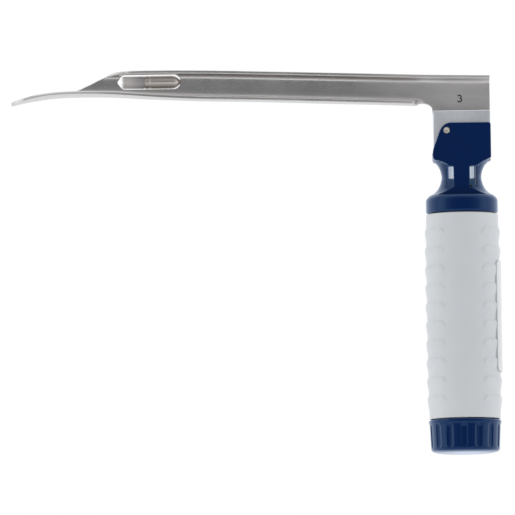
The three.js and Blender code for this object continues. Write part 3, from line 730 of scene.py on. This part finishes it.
def sheet_section(x):
    """Closed section of the sheet at x, with small rounds on its free edges."""
    fine_count, count = 200, 64
    fine = resample(trimmed(x), fine_count)
    length = sum((b - a).length for a, b in zip(fine, fine[1:]))
    radius = min(EDGE_ROUND, length * 0.4)
    skip = max(1, int(round(radius / length * (fine_count - 1))))
    middle = resample(fine[skip:fine_count - skip], count)
    normals = []
    for i in range(count):
        t = (middle[min(i + 1, count - 1)] - middle[max(i - 1, 0)]).normalized()
        normals.append(Vector((t.y, -t.x)))

    def rounded_end(i, outward):
        centre, normal, arc = middle[i], normals[i], []
        for quarter in range(1, 5):
            angle = (quarter / 4) * math.pi / 2
            arc.append((radius * math.sin(angle),
                        HALF_SHEET - radius + radius * math.cos(angle)))
        return ([centre + outward * u + normal * v for u, v in arc]
                + [centre + outward * u - normal * v for u, v in arc[::-1]])

    start_end = rounded_end(0, (middle[0] - middle[1]).normalized())[::-1]
    far_end = rounded_end(count - 1, (middle[-1] - middle[-2]).normalized())
    outer = [p + n * HALF_SHEET for p, n in zip(middle, normals)]
    inner = [p - n * HALF_SHEET for p, n in zip(middle, normals)]
    return [(x, p.x, p.y) for p in start_end + outer + far_end + inner[::-1]]


def build_channel():
    channel = skin("blade_channel_steel", [sheet_section(x) for x in STATIONS])
    window = []
    for degrees in range(-90, 91, 6):
        angle = math.radians(degrees)
        window.append((WINDOW_ROUND_X + WINDOW_RADIUS * math.cos(angle),
                       LAMP_Z + WINDOW_RADIUS * math.sin(angle)))
    window += [(x, LAMP_Z + half) for x, half in WINDOW_FRONT]
    window += [(WINDOW_POINT_X, LAMP_Z)]
    window += [(x, LAMP_Z - half) for x, half in WINDOW_FRONT[::-1]]
    carrier_hole = rod(0.9, 5, 8, 24, "Y", (CONTACT_X, 0, CARRIER_END_Z))
    cut(channel, prism(window, 3.4, 9.0), carrier_hole)
    finish_piece(channel, "blade", "blade", "blade_channel", sharp=50)


# --------------------------------------------------------------------- hook-on block
BLOCK_TOP, BLOCK_BOTTOM = 139.2, 123.0
BLOCK_END_RADIUS = 8.5                  # arc about the pin under the block's -X end
BLOCK_ARC_DEGREES = (229.5, 233, 237, 241, 245, 249, 252)
HOOK_TILT = math.radians(75)            # slope of the hook's mouth below the +X direction
HOOK_RADIUS, HOOK_MOUTH = 1.45, 2.0     # half widths round the pin and at the open end
HOOK_STRAIGHT, HOOK_FLARED, HOOK_OUT = 6.6, 8.4, 12   # distances from the pin


def hook_slot():
    """XZ outline of the slot that hooks over the pin: round inside, flared at its mouth."""
    cosine, sine = math.cos(HOOK_TILT), math.sin(HOOK_TILT)
    start = math.atan2(cosine, sine)
    outline = []
    for i in range(25):
        angle = start + math.pi * i / 24
        outline.append((PIN_X + HOOK_RADIUS * math.cos(angle),
                        PIN_Z + HOOK_RADIUS * math.sin(angle)))
    sides = [(-HOOK_RADIUS, HOOK_STRAIGHT), (-HOOK_MOUTH, HOOK_FLARED), (-HOOK_MOUTH, HOOK_OUT),
             (HOOK_MOUTH, HOOK_OUT), (HOOK_MOUTH, HOOK_FLARED), (HOOK_RADIUS, HOOK_STRAIGHT)]
    for across, out in sides:
        outline.append((PIN_X + across * sine + out * cosine,
                        PIN_Z + across * cosine - out * sine))
    return outline


def build_block():
    arc = []
    for degrees in BLOCK_ARC_DEGREES:
        angle = math.radians(degrees)
        arc.append((PIN_X + BLOCK_END_RADIUS * math.cos(angle),
                    max(BLOCK_BOTTOM, PIN_Z + BLOCK_END_RADIUS * math.sin(angle))))
    side = [(BLOCK_END_X, BLOCK_TOP), (BLOCK_END_X, 125.0)] + arc
    side += [(-3.2, BLOCK_BOTTOM), (11.6, BLOCK_BOTTOM), (12.0, 123.4), (12.0, BLOCK_TOP)]
    block = prism(side, -6.4, 6.4, name="hook_block")
    add_modifier(block, "BEVEL", width=0.28, segments=3, limit_method="ANGLE",
                 angle_limit=math.radians(50), use_clamp_overlap=True, miter_outer="MITER_ARC")
    bake(block)
    # Recess on the +Y side where the blade's web lies
    web_recess = [(-13, 137.4), (-8.4, 137.4), (-5.4, 135.0), (13, 135.0), (13, 141), (-13, 141)]
    cut(block, prism(web_recess, 5.58, 8))
    cut(block,
        prism(hook_slot(), -9, 9),
        # Upright stepped bore on the contact line
        rod(2.6, 120, 128.2, 48, centre=(CONTACT_X, 0, 0)),
        rod(1.1, 127, 137.7, 24, centre=(CONTACT_X, 0, 0)),
        # Cross bore for the light carrier's end, then the detent bore
        rod(1.1, -0.5, 9, 24, "Y", (CONTACT_X, 0, CARRIER_END_Z)),
        rod(1.7, -9, 9, 32, "Y", (DETENT_X, 0, DETENT_Z)))
    finish_piece(block, "blade", "block", "heel_block", sharp=40)


# ------------------------------------------------------------------ lamp and carrier
# (radius, x, corner radius) from the lens back to the foot
GLASS = [
    (0, -139.3, 0), (0.45, -139.12, 0.3), (1.3, -138.35, 0.4), (2.1, -137.92, 0.4),
    (2.55, -137.35, 0.4), (2.65, -136.5, 0.4), (2.65, -128.7, 0.2), (2.3, -128.45, 0.1),
    (0, -128.45, 0),
]
BARREL = [
    (0, -128.43, 0), (2.45, -128.43, 0.12), (2.68, -128.2, 0.12), (2.68, -126.5, 0.08),
    (2.56, -126.35, 0.08), (2.56, -126.1, 0.08), (2.68, -125.95, 0.08), (2.7, -117.3, 0.8),
    (2.5, -116.1, 0.6), (2.0, -115.15, 0.5), (1.3, -114.35, 0.4), (0.9, -113.75, 0.2),
    (0, -113.7, 0),
]
CARRIER_Y = 8.9
CARRIER_RADIUS, CARRIER_BORE = 1.5, 0.95
# (x, z) down the outside of the web
CARRIER_RUN = [(-113.2, LAMP_Z), (-100, 153.0), (-70, 151.2), (-40, 149.6), (-18, 147.9),
               (-8, 145.2), (-2.5, 140.4), (0.6, 137.4)]


def build_lamp():
    for name, profile, slot, finish, replaced in (
            ("lamp_glass_body", GLASS, "lamp_glass", "glass", "lamp_bulb"),
            ("lamp_barrel", BARREL, "lamp_metal", "lamp", "lamp_base")):
        part = revolve(name, round_profile(profile), 72, axis="X", centre=(0, LAMP_Y, LAMP_Z))
        finish_piece(part, "blade", finish, replaced)


def build_carrier():
    """The pipe from the lamp along the web, turned in at the block."""
    line = [(x, CARRIER_Y, z) for x, z in CARRIER_RUN]
    line += [(CONTACT_X, 8.3, CARRIER_END_Z), (CONTACT_X, 7.2, CARRIER_END_Z)]
    carrier = pipe("light_carrier", centripetal(line, 10), CARRIER_RADIUS, CARRIER_BORE, 28)
    finish_piece(carrier, "blade", "blade", "light_tube", sharp=60)


# ------------------------------------------------------------------------- yoke head
HEAD_TOP = 122.2
HEAD_HALF_DEPTH, CHEEK_INNER_Y = 8.9, 6.7
# (radius, z) down the turned neck
NECK = [
    (11.9, HEAD_TOP), (11.67, 120.25), (11.5, 119.4), (11.0, 118.6), (10.19, 117.8),
    (9.5, 117.0), (9.07, 116.2), (8.72, 115.4), (8.44, 114.5), (8.25, 113.6), (8.1, 112.6),
    (8.15, 111.6), (8.4, 110.5), (8.6, 109.7), (8.93, 108.9), (9.37, 108.0), (9.9, 107.2),
    (10.63, 106.4), (11.65, 105.6), (13.1, 104.8), (14.0, 104.0), (14.5, 103.2), (14.65, 102.4),
]
# (radius, z) of the straight rim below it
HEAD_RIM = [(14.65, 98.2), (14.3, 97.62), (0, 97.62)]
# (x, z, corner radius) round one upright cheek
CHEEK = [
    (-3.94, 134.1, 0.9), (11.6, 134.0, 0.7), (12.1, 133.5, 0.7), (12.1, 119.7, 0.6),
    (11.5, 119.35, 0.3), (8.6, 118.0, 0.8), (6.8, 116.8, 0.8), (5.0, 115.6, 0.6),
    (3.3, 115.0, 1.2), (3.3, 107.0, 0.3), (-3.3, 107.0, 0.3), (-3.3, 115.0, 1.2),
    (-4.6, 115.9, 0.6), (-6.0, 117.1, 0.8), (-7.43, 117.9, 0.8), (-9.5, 118.6, 0.8),
    (-11.3, 118.9, 0.9), (-11.75, 120.9, 0.9), (-11.5, 122.95, 0.9), (-10.8, 125.0, 0.9),
    (-10.0, 127.0, 0.9), (-9.15, 129.4, 0.9), (-8.45, 131.2, 0.9), (-7.6, 132.5, 0.9),
    (-6.4, 133.5, 0.9), (-5.2, 134.0, 0.9),
]
# (x, z) of a narrow bent slot down the inside of the +X wall
WALL_SLOT = [(9.6, 2.4), (10.68, 2.4), (10.68, 104.7), (6.28, 109.4), (6.28, 123.2),
             (5.18, 123.2), (5.18, 108.9), (9.6, 104.2)]
DIMPLE_RADIUS, DIMPLE_Y = 1.72, 5.32


def detent_dimple(side):
    """A ball-shaped cutter at the front (-1) or back (1) cheek."""
    profile = [(0, -DIMPLE_RADIUS)]
    for step in range(1, 16):
        angle = step * math.pi / 16
        profile.append((DIMPLE_RADIUS * math.sin(angle), -DIMPLE_RADIUS * math.cos(angle)))
    profile.append((0, DIMPLE_RADIUS))
    return revolve("cutter", profile, 32, centre=(DETENT_X, side * DIMPLE_Y, DETENT_Z))


def build_head():
    neck = [(p.x, p.y) for p in catmull(NECK, 4)]
    head = revolve("yoke_head", [(0, HEAD_TOP)] + neck + HEAD_RIM, 144)
    # Flats at the front and back, then the two cheeks
    cut(head,
        box(-20, 20, -20, -HEAD_HALF_DEPTH, 104.5, 130),
        box(-20, 20, HEAD_HALF_DEPTH, 20, 104.5, 130))
    cheek = round_loop(CHEEK)
    join(head,
         prism(cheek, -HEAD_HALF_DEPTH, -CHEEK_INNER_Y),
         prism(cheek, CHEEK_INNER_Y, HEAD_HALF_DEPTH))
    # Stepped hollow, open at the bottom
    cut(head, rod(6.2, 106.9, 120.9, 64), rod(7.6, 102.6, 107.4, 64), rod(12.25, 90, 102.9, 96))
    # Two upright openings in the front of the neck
    cut(head, box(-5.9, -3.3, -12, 0, 107.6, 116.2))
    cut(head, box(3.3, 5.9, -12, 0, 107.6, 116.2))
    cut(head,
        rod(1.95, 119, 125, 40, centre=(CONTACT_X, 0, 0)),
        rod(1.36, -12, 12, 40, "Y", (PIN_X, 0, PIN_Z)),
        prism(WALL_SLOT, -1.6, 1.6))
    cut(head, detent_dimple(-1))
    cut(head, detent_dimple(1))
    # Remeshing and smoothing round all the edges like a moulding's
    add_modifier(head, "REMESH", mode="VOXEL", voxel_size=0.21, adaptivity=0.0)
    add_modifier(head, "SMOOTH", factor=0.5, iterations=5)
    bake(head)
    finish_piece(head, "handle", "navy", "handle_head")


# (radius, y, corner radius) from the middle of one end face out to the shank
PIN_END = [(0, 8.85, 0), (0.55, 8.95, 0.1), (0.75, 9.2, 0.08), (1.12, 9.28, 0.08),
           (1.25, 9.12, 0.06)]


def build_pin():
    profile = [(r, -y, corner) for r, y, corner in PIN_END] + PIN_END[::-1]
    pin = revolve("pin_round", round_profile(profile, steps=3), 48, axis="Y",
                  centre=(PIN_X, 0, PIN_Z))
    finish_piece(pin, "hinge_pin", "pin", "hinge_pin")


# ------------------------------------------------------------------------------ grip
GRIP_BOTTOM, GRIP_TOP, GRIP_BORE, GRIP_EDGE = 13.7, 97.2, 12.3, 0.4
# (z, radius) of the plain grip
GRIP_RADIUS = [(13.7, 14.4), (20, 14.55), (35, 14.72), (60, 14.8), (80, 14.8), (93, 14.65),
               (97.2, 14.55)]
PAD_TOP, PAD_PITCH, PAD_COUNT, PAD_HEIGHT = 91.35, 7.58, 10, 0.5
PAD_HALF_ANGLE, PAD_ARC_RADIUS, PAD_CORNER = 1.065, 14.8, 3.3
SEAM_HEIGHT, SEAM_WIDTH, SEAM_ARC_RADIUS = 0.045, 0.16, 14.7
LABEL_ANGLES = (math.radians(-28), math.radians(38))
LABEL_BOTTOM, LABEL_TOP, LABEL_CORNER = 32.8, 77.9, 2.2
LABEL_RADIUS, LABEL_ARC_RADIUS = 15.52, 15.45


def pad(angle, z):
    """Height of the raised finger pads down the -X and +X sides.

    Each has a crisp upper edge, fades out below, and is round at its upper corners.
    """
    side = math.acos(min(1.0, abs(math.cos(angle))))
    inset = (PAD_HALF_ANGLE - side) * PAD_ARC_RADIUS     # inside the row's front or back limit
    height = 0.0
    for k in range(PAD_COUNT):
        below = PAD_TOP - k * PAD_PITCH - z              # below the pad's top edge
        if -0.6 < below < 6.2:
            inside = min(inset, below)
            if inset < PAD_CORNER and below < PAD_CORNER:
                inside = PAD_CORNER - math.hypot(PAD_CORNER - max(inset, -9),
                                                 PAD_CORNER - below)
            rise = smoothstep(-0.3, 0.9, inside)
            fade_down = 1.0 - smoothstep(1.8, 6.0, below)
            fade_side = smoothstep(-0.3, 1.2 + 3.6 * smoothstep(1.2, 4.2, below), inset)
            height = max(height, rise * fade_down * fade_side)
    return PAD_HEIGHT * height


def seam(angle):
    """A faint moulding line at the front and the back."""
    signed = angle if angle <= math.pi else angle - 2 * math.pi
    distance = (math.pi / 2 - abs(signed)) * SEAM_ARC_RADIUS
    return SEAM_HEIGHT * math.exp(-(distance / SEAM_WIDTH) ** 2)


def grip_surface(angle, r, z):
    if r < 13.0:
        return r
    end = min(z - GRIP_BOTTOM, GRIP_TOP - z)
    edge = GRIP_EDGE * (1 - math.sqrt(max(0.0, 1 - (1 - min(1.0, end / GRIP_EDGE)) ** 2)))
    return table(GRIP_RADIUS, z) - edge + pad(angle, z) + seam(angle)


def build_grip():
    levels = [GRIP_BOTTOM, 13.74, 13.82, 13.95, 14.1, 14.4] + run(14.8, 0.19, 430)
    levels += [96.6, 96.85, 97.0, 97.1, 97.16, GRIP_TOP]
    # The outer rows' 14.0 only marks them as outside; grip_surface gives their radius
    rows = [(GRIP_BORE, 13.75)] + [(14.0, z) for z in levels] + [(GRIP_BORE, 97.15)]
    grip = revolve("grip_moulding", rows, 300, grip_surface, closed=True)
    finish_piece(grip, "handle", "grip", "grip_sleeve")


def build_label():
    """A thin film with round corners, wrapped round the +X side of the grip."""
    columns, rows = 60, 90
    width = (LABEL_ANGLES[1] - LABEL_ANGLES[0]) * LABEL_ARC_RADIUS
    height = LABEL_TOP - LABEL_BOTTOM
    middle_angle, middle_z = sum(LABEL_ANGLES) / 2, (LABEL_BOTTOM + LABEL_TOP) / 2
    verts, faces, layers = [], [], []
    for is_outer in (True, False):
        layer = []
        for j in range(rows + 1):
            row = []
            v = height * (0.5 - 0.5 * math.cos(math.pi * j / rows)) - height / 2
            z = middle_z + v
            into_corner = max(0.0, abs(v) - (height / 2 - LABEL_CORNER))
            corner_half = math.sqrt(max(0.0, LABEL_CORNER * LABEL_CORNER
                                        - into_corner * into_corner))
            half_width = width / 2 - (LABEL_CORNER - corner_half)
            for i in range(columns + 1):
                u = width * (0.5 - 0.5 * math.cos(math.pi * i / columns)) - width / 2
                angle = middle_angle + u * half_width / (width / 2) / LABEL_ARC_RADIUS
                if is_outer:
                    on_rim = i in (0, columns) or j in (0, rows)
                    r = LABEL_RADIUS - (0.03 if on_rim else 0.0)
                else:
                    r = table(GRIP_RADIUS, z) + pad(angle, z) + 0.04
                row.append(len(verts))
                verts.append((r * math.cos(angle), r * math.sin(angle), z))
            layer.append(row)
        layers.append(layer)
    for layer in layers:
        for a, b in zip(layer, layer[1:]):
            faces += [[a[i], a[i + 1], b[i + 1], b[i]] for i in range(columns)]
    rim = [(0, i) for i in range(columns)] + [(j, columns) for j in range(rows)]
    rim += [(rows, i) for i in range(columns, 0, -1)] + [(j, 0) for j in range(rows, 0, -1)]
    outer, inner = layers
    for (j0, i0), (j1, i1) in zip(rim, rim[1:] + rim[:1]):
        faces.append([outer[j0][i0], outer[j1][i1], inner[j1][i1], inner[j0][i0]])
    label = solid("side_label", verts, faces)
    finish_piece(label, "handle", "label", "grip_label")


# --------------------------------------------------------------------------- end cap
# (radius, z, corner radius) from the middle of the base, up the outside and down the inside
CAP = [
    (0, 0, 0), (11.2, 0, 0.5), (13.3, 0.55, 0.5), (13.95, 1.3, 0.5), (14.43, 11.55, 0.5),
    (14.75, 12.1, 0.35), (14.75, 12.9, 0.3), (14.45, 13.3, 0.2), (13.35, 13.3, 0.15),
    (13.35, 11.4, 0.1), (12.98, 11.1, 0.1), (12.98, 2.3, 0.2), (0, 2.3, 0),
]
FLUTE_PITCH, FLUTE_OFFSET = 24.0, 92.6      # degrees
FLUTE_HALF_WIDTH, FLUTE_DEPTH = 1.45, 0.52
FLUTE_BOTTOM, FLUTE_TOP = 1.55, 11.65


def cap_profile():
    """The cap's profile, with its long outer wall divided finely for the flutes."""
    base, wall_steps = round_profile(CAP), 48
    out = []
    for (r0, z0), (r1, z1) in zip(base, base[1:]):
        out.append((r0, z0))
        if r0 > 13.7 and r1 > 13.7 and z1 - z0 > 4:
            out += [(r0 + (r1 - r0) * k / wall_steps, z0 + (z1 - z0) * k / wall_steps)
                    for k in range(1, wall_steps)]
    return out + [base[-1]]


def fluted(angle, r, z):
    """Upright flutes with round ends, sunk in the outer wall."""
    from_end = min(z - FLUTE_BOTTOM, FLUTE_TOP - z)
    if r < 13.5 or from_end < 0:
        return r
    half_pitch = FLUTE_PITCH / 2
    degrees = (math.degrees(angle) + FLUTE_OFFSET + half_pitch) % FLUTE_PITCH - half_pitch
    across = math.radians(degrees) * r
    short = FLUTE_HALF_WIDTH - min(from_end, FLUTE_HALF_WIDTH)
    half_width = math.sqrt(max(0.0, FLUTE_HALF_WIDTH * FLUTE_HALF_WIDTH - short ** 2))
    if half_width < 1e-3 or abs(across) >= half_width:
        return r
    hollow = math.sqrt(max(0.0, 1 - (across / half_width) ** 2))
    return r - FLUTE_DEPTH * hollow * min(1.0, math.sqrt(from_end / FLUTE_HALF_WIDTH))


def build_cap():
    cap = revolve("cap_moulding", cap_profile(), 450, fluted)
    finish_piece(cap, "end_cap", "navy", "end_cap")


# --------------------------------------------------------------- size numeral, etched
NUMERAL_X, NUMERAL_Z = -0.2, 145.1
NUMERAL_LAYERS = (5.585, 5.635)     # y of its two faces
NUMERAL_HALF_STROKE, NUMERAL_WIDENING = 0.26, 1.15
# (centre height, radius, start degrees, end degrees) of the upper and lower bowl
BOWLS = [(0.70, 0.62, 155, -80), (-0.62, 0.74, 80, -155)]


def build_numeral():
    """The blade's size number, a plain 3, as a thin dark layer on the heel's web."""
    path = []
    for centre, radius, start, end in BOWLS:
        for k in range(19):
            angle = math.radians(start + (end - start) * k / 18)
            path.append((radius * NUMERAL_WIDENING * math.cos(angle),
                         centre + radius * math.sin(angle)))
    n = len(path)
    verts, faces = [], []
    for y in NUMERAL_LAYERS:
        for i, (u, v) in enumerate(path):
            before, after = path[max(i - 1, 0)], path[min(i + 1, n - 1)]
            along = Vector((after[0] - before[0], after[1] - before[1])).normalized()
            for half in (NUMERAL_HALF_STROKE, -NUMERAL_HALF_STROKE):
                verts.append((u - along.y * half + NUMERAL_X, y,
                              v + along.x * half + NUMERAL_Z))
    layer = 2 * n
    for a in range(0, layer - 2, 2):
        b = layer + a
        faces += [[a, a + 1, a + 3, a + 2], [b + 1, b, b + 2, b + 3],
                  [a, a + 2, b + 2, b], [a + 1, b + 1, b + 3, a + 3]]
    faces += [[0, layer, layer + 1, 1],
              [layer - 2, layer - 1, 2 * layer - 1, 2 * layer - 2]]
    numeral = solid("size_numeral", verts, faces)
    finish_piece(numeral, "blade", "etch", sharp=30)


# ----------------------------------------------------------- CAD pieces kept as they are
KEPT = {
    "lamp_lead": "lead", "block_insulator": "black", "block_contact": "brass",
    "detent_ball_front": "block", "detent_ball_rear": "block", "detent_spring": "spring",
    "contact_housing": "insulator", "contact_plunger": "brass", "plunger_spring": "spring",
    "battery_terminal": "brass", "ground_strip": "spring", "core_tube": "grey",
    "battery_liner": "grey", "battery_lower": "cell", "battery_upper": "cell",
    "cap_seal": "rubber", "cap_contact_plate": "spring", "cap_spring": "spring",
}


def finish_kept_pieces():
    for node, finish in KEPT.items():
        smooth_shading(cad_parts[node], FINISHES[finish].material, sharp=42)


# ------------------------------------------------------------- floor, light and camera
FLOOR_HALF, FLOOR_Z = 4.0, -0.5
# (position, brightness) of the surroundings from -Y to +Y
TENT = [(0.0, 0.22), (0.035, 0.24), (0.14, 0.46), (0.30, 0.84), (0.5, 1.0), (1.0, 1.0)]


def build_floor():
    m = Finish("pale_floor")
    cloud = m.noise(scale=9, detail=4.0, roughness=0.6)
    m.set({
        "Base Color": m.mix(cloud, (0.84, 0.845, 0.85), (0.87, 0.87, 0.87)),
        "Roughness": 0.75,
        "Specular IOR Level": 0.2,
        "Emission Color": (1, 1, 1),
        "Emission Strength": 0.2,
    })
    m.bump(m.noise(scale=700), strength=0.05, distance=0.0001)
    s = FLOOR_HALF
    corners = [(x, y, FLOOR_Z) for x, y in ((-s, -s), (s, -s), (s, s), (-s, s))]
    floor = mesh_object("floor", corners, [[0, 1, 2, 3]])
    floor.data.materials.append(m.material)


def build_world():
    """A light tent, dim towards the camera and cooler below; the camera sees plain white."""
    world = bpy.data.worlds.new("tent")
    bpy.context.scene.world = world
    w = Nodes(world)
    output = w.add("OutputWorld")
    background = w.add("Background")
    direction = w.separate(w.add("TexCoord").outputs["Generated"])
    ramp = w.add("ValToRGB")
    w.feed(ramp.inputs[0], w.remap(direction["Y"], span=(-1.0, 1.0)))
    while len(ramp.color_ramp.elements) < len(TENT):
        ramp.color_ramp.elements.new(0.5)
    for element, (position, level) in zip(ramp.color_ramp.elements, TENT):
        element.position = position
        element.color = (level * 0.985, level, level * 1.02, 1)
    below = w.remap(direction["Z"], span=(-0.03, -0.2))
    tent = w.mix(below, ramp.outputs[0], (0.60, 0.66, 0.72), blend="MULTIPLY")
    camera_ray = w.add("LightPath").outputs["Is Camera Ray"]
    w.feed(background.inputs["Color"], w.mix(camera_ray, tent, (1, 1, 1)))
    background.inputs["Strength"].default_value = 1.0
    w.feed(output.inputs["Surface"], background.outputs[0])


def softbox(name, location, aim, width, height, power):
    light = bpy.data.lights.new(name, "AREA")
    light.shape = "RECTANGLE"
    light.size = width
    light.size_y = height
    light.energy = power
    ob = bpy.data.objects.new(name, light)
    bpy.context.collection.objects.link(ob)
    ob.location = location
    towards = Vector(aim) - Vector(location)
    ob.rotation_euler = towards.to_track_quat("-Z", "Y").to_euler()


def build_lights():
    softbox("left", location=(-0.9, -0.35, 0.35), aim=(0, 0, 0.08),
            width=0.5, height=0.9, power=0.55)
    softbox("right", location=(0.8, -0.25, 0.30), aim=(0, 0, 0.08),
            width=0.4, height=0.9, power=0.35)
    softbox("top", location=(-0.05, -0.15, 0.9), aim=(-0.05, 0, 0.1),
            width=0.9, height=0.5, power=0.35)


CAMERA_PITCH, CAMERA_ROLL = math.radians(4.5), math.radians(0.817)   # looking slightly up
CAMERA_DISTANCE = 5.0022
CAMERA_TARGET = Vector((-0.0834, 0, 0.08085))


def build_camera():
    camera = bpy.data.cameras.new("view")
    camera.lens = 860
    camera.sensor_width = 36
    camera.sensor_fit = "HORIZONTAL"
    camera.clip_start = 0.05
    camera.clip_end = 20
    view = bpy.data.objects.new("view", camera)
    bpy.context.collection.objects.link(view)
    look = Vector((0, math.cos(CAMERA_PITCH), math.sin(CAMERA_PITCH)))
    level_up = Vector((0, -math.sin(CAMERA_PITCH), math.cos(CAMERA_PITCH)))
    level_right = Vector((1, 0, 0))
    up = level_up * math.cos(CAMERA_ROLL) + level_right * math.sin(CAMERA_ROLL)
    right = level_right * math.cos(CAMERA_ROLL) - level_up * math.sin(CAMERA_ROLL)
    place = Matrix.Translation(CAMERA_TARGET - look * CAMERA_DISTANCE)
    view.matrix_world = place @ Matrix((right, up, -look)).transposed().to_4x4()
    scene = bpy.context.scene
    scene.camera = view
    scene.view_settings.view_transform = "Standard"
    scene.view_settings.look = "None"


build_channel()
build_block()
build_lamp()
build_carrier()
build_head()
build_pin()
build_grip()
build_label()
build_cap()
build_numeral()
finish_kept_pieces()
build_floor()
build_world()
build_lights()
build_camera()
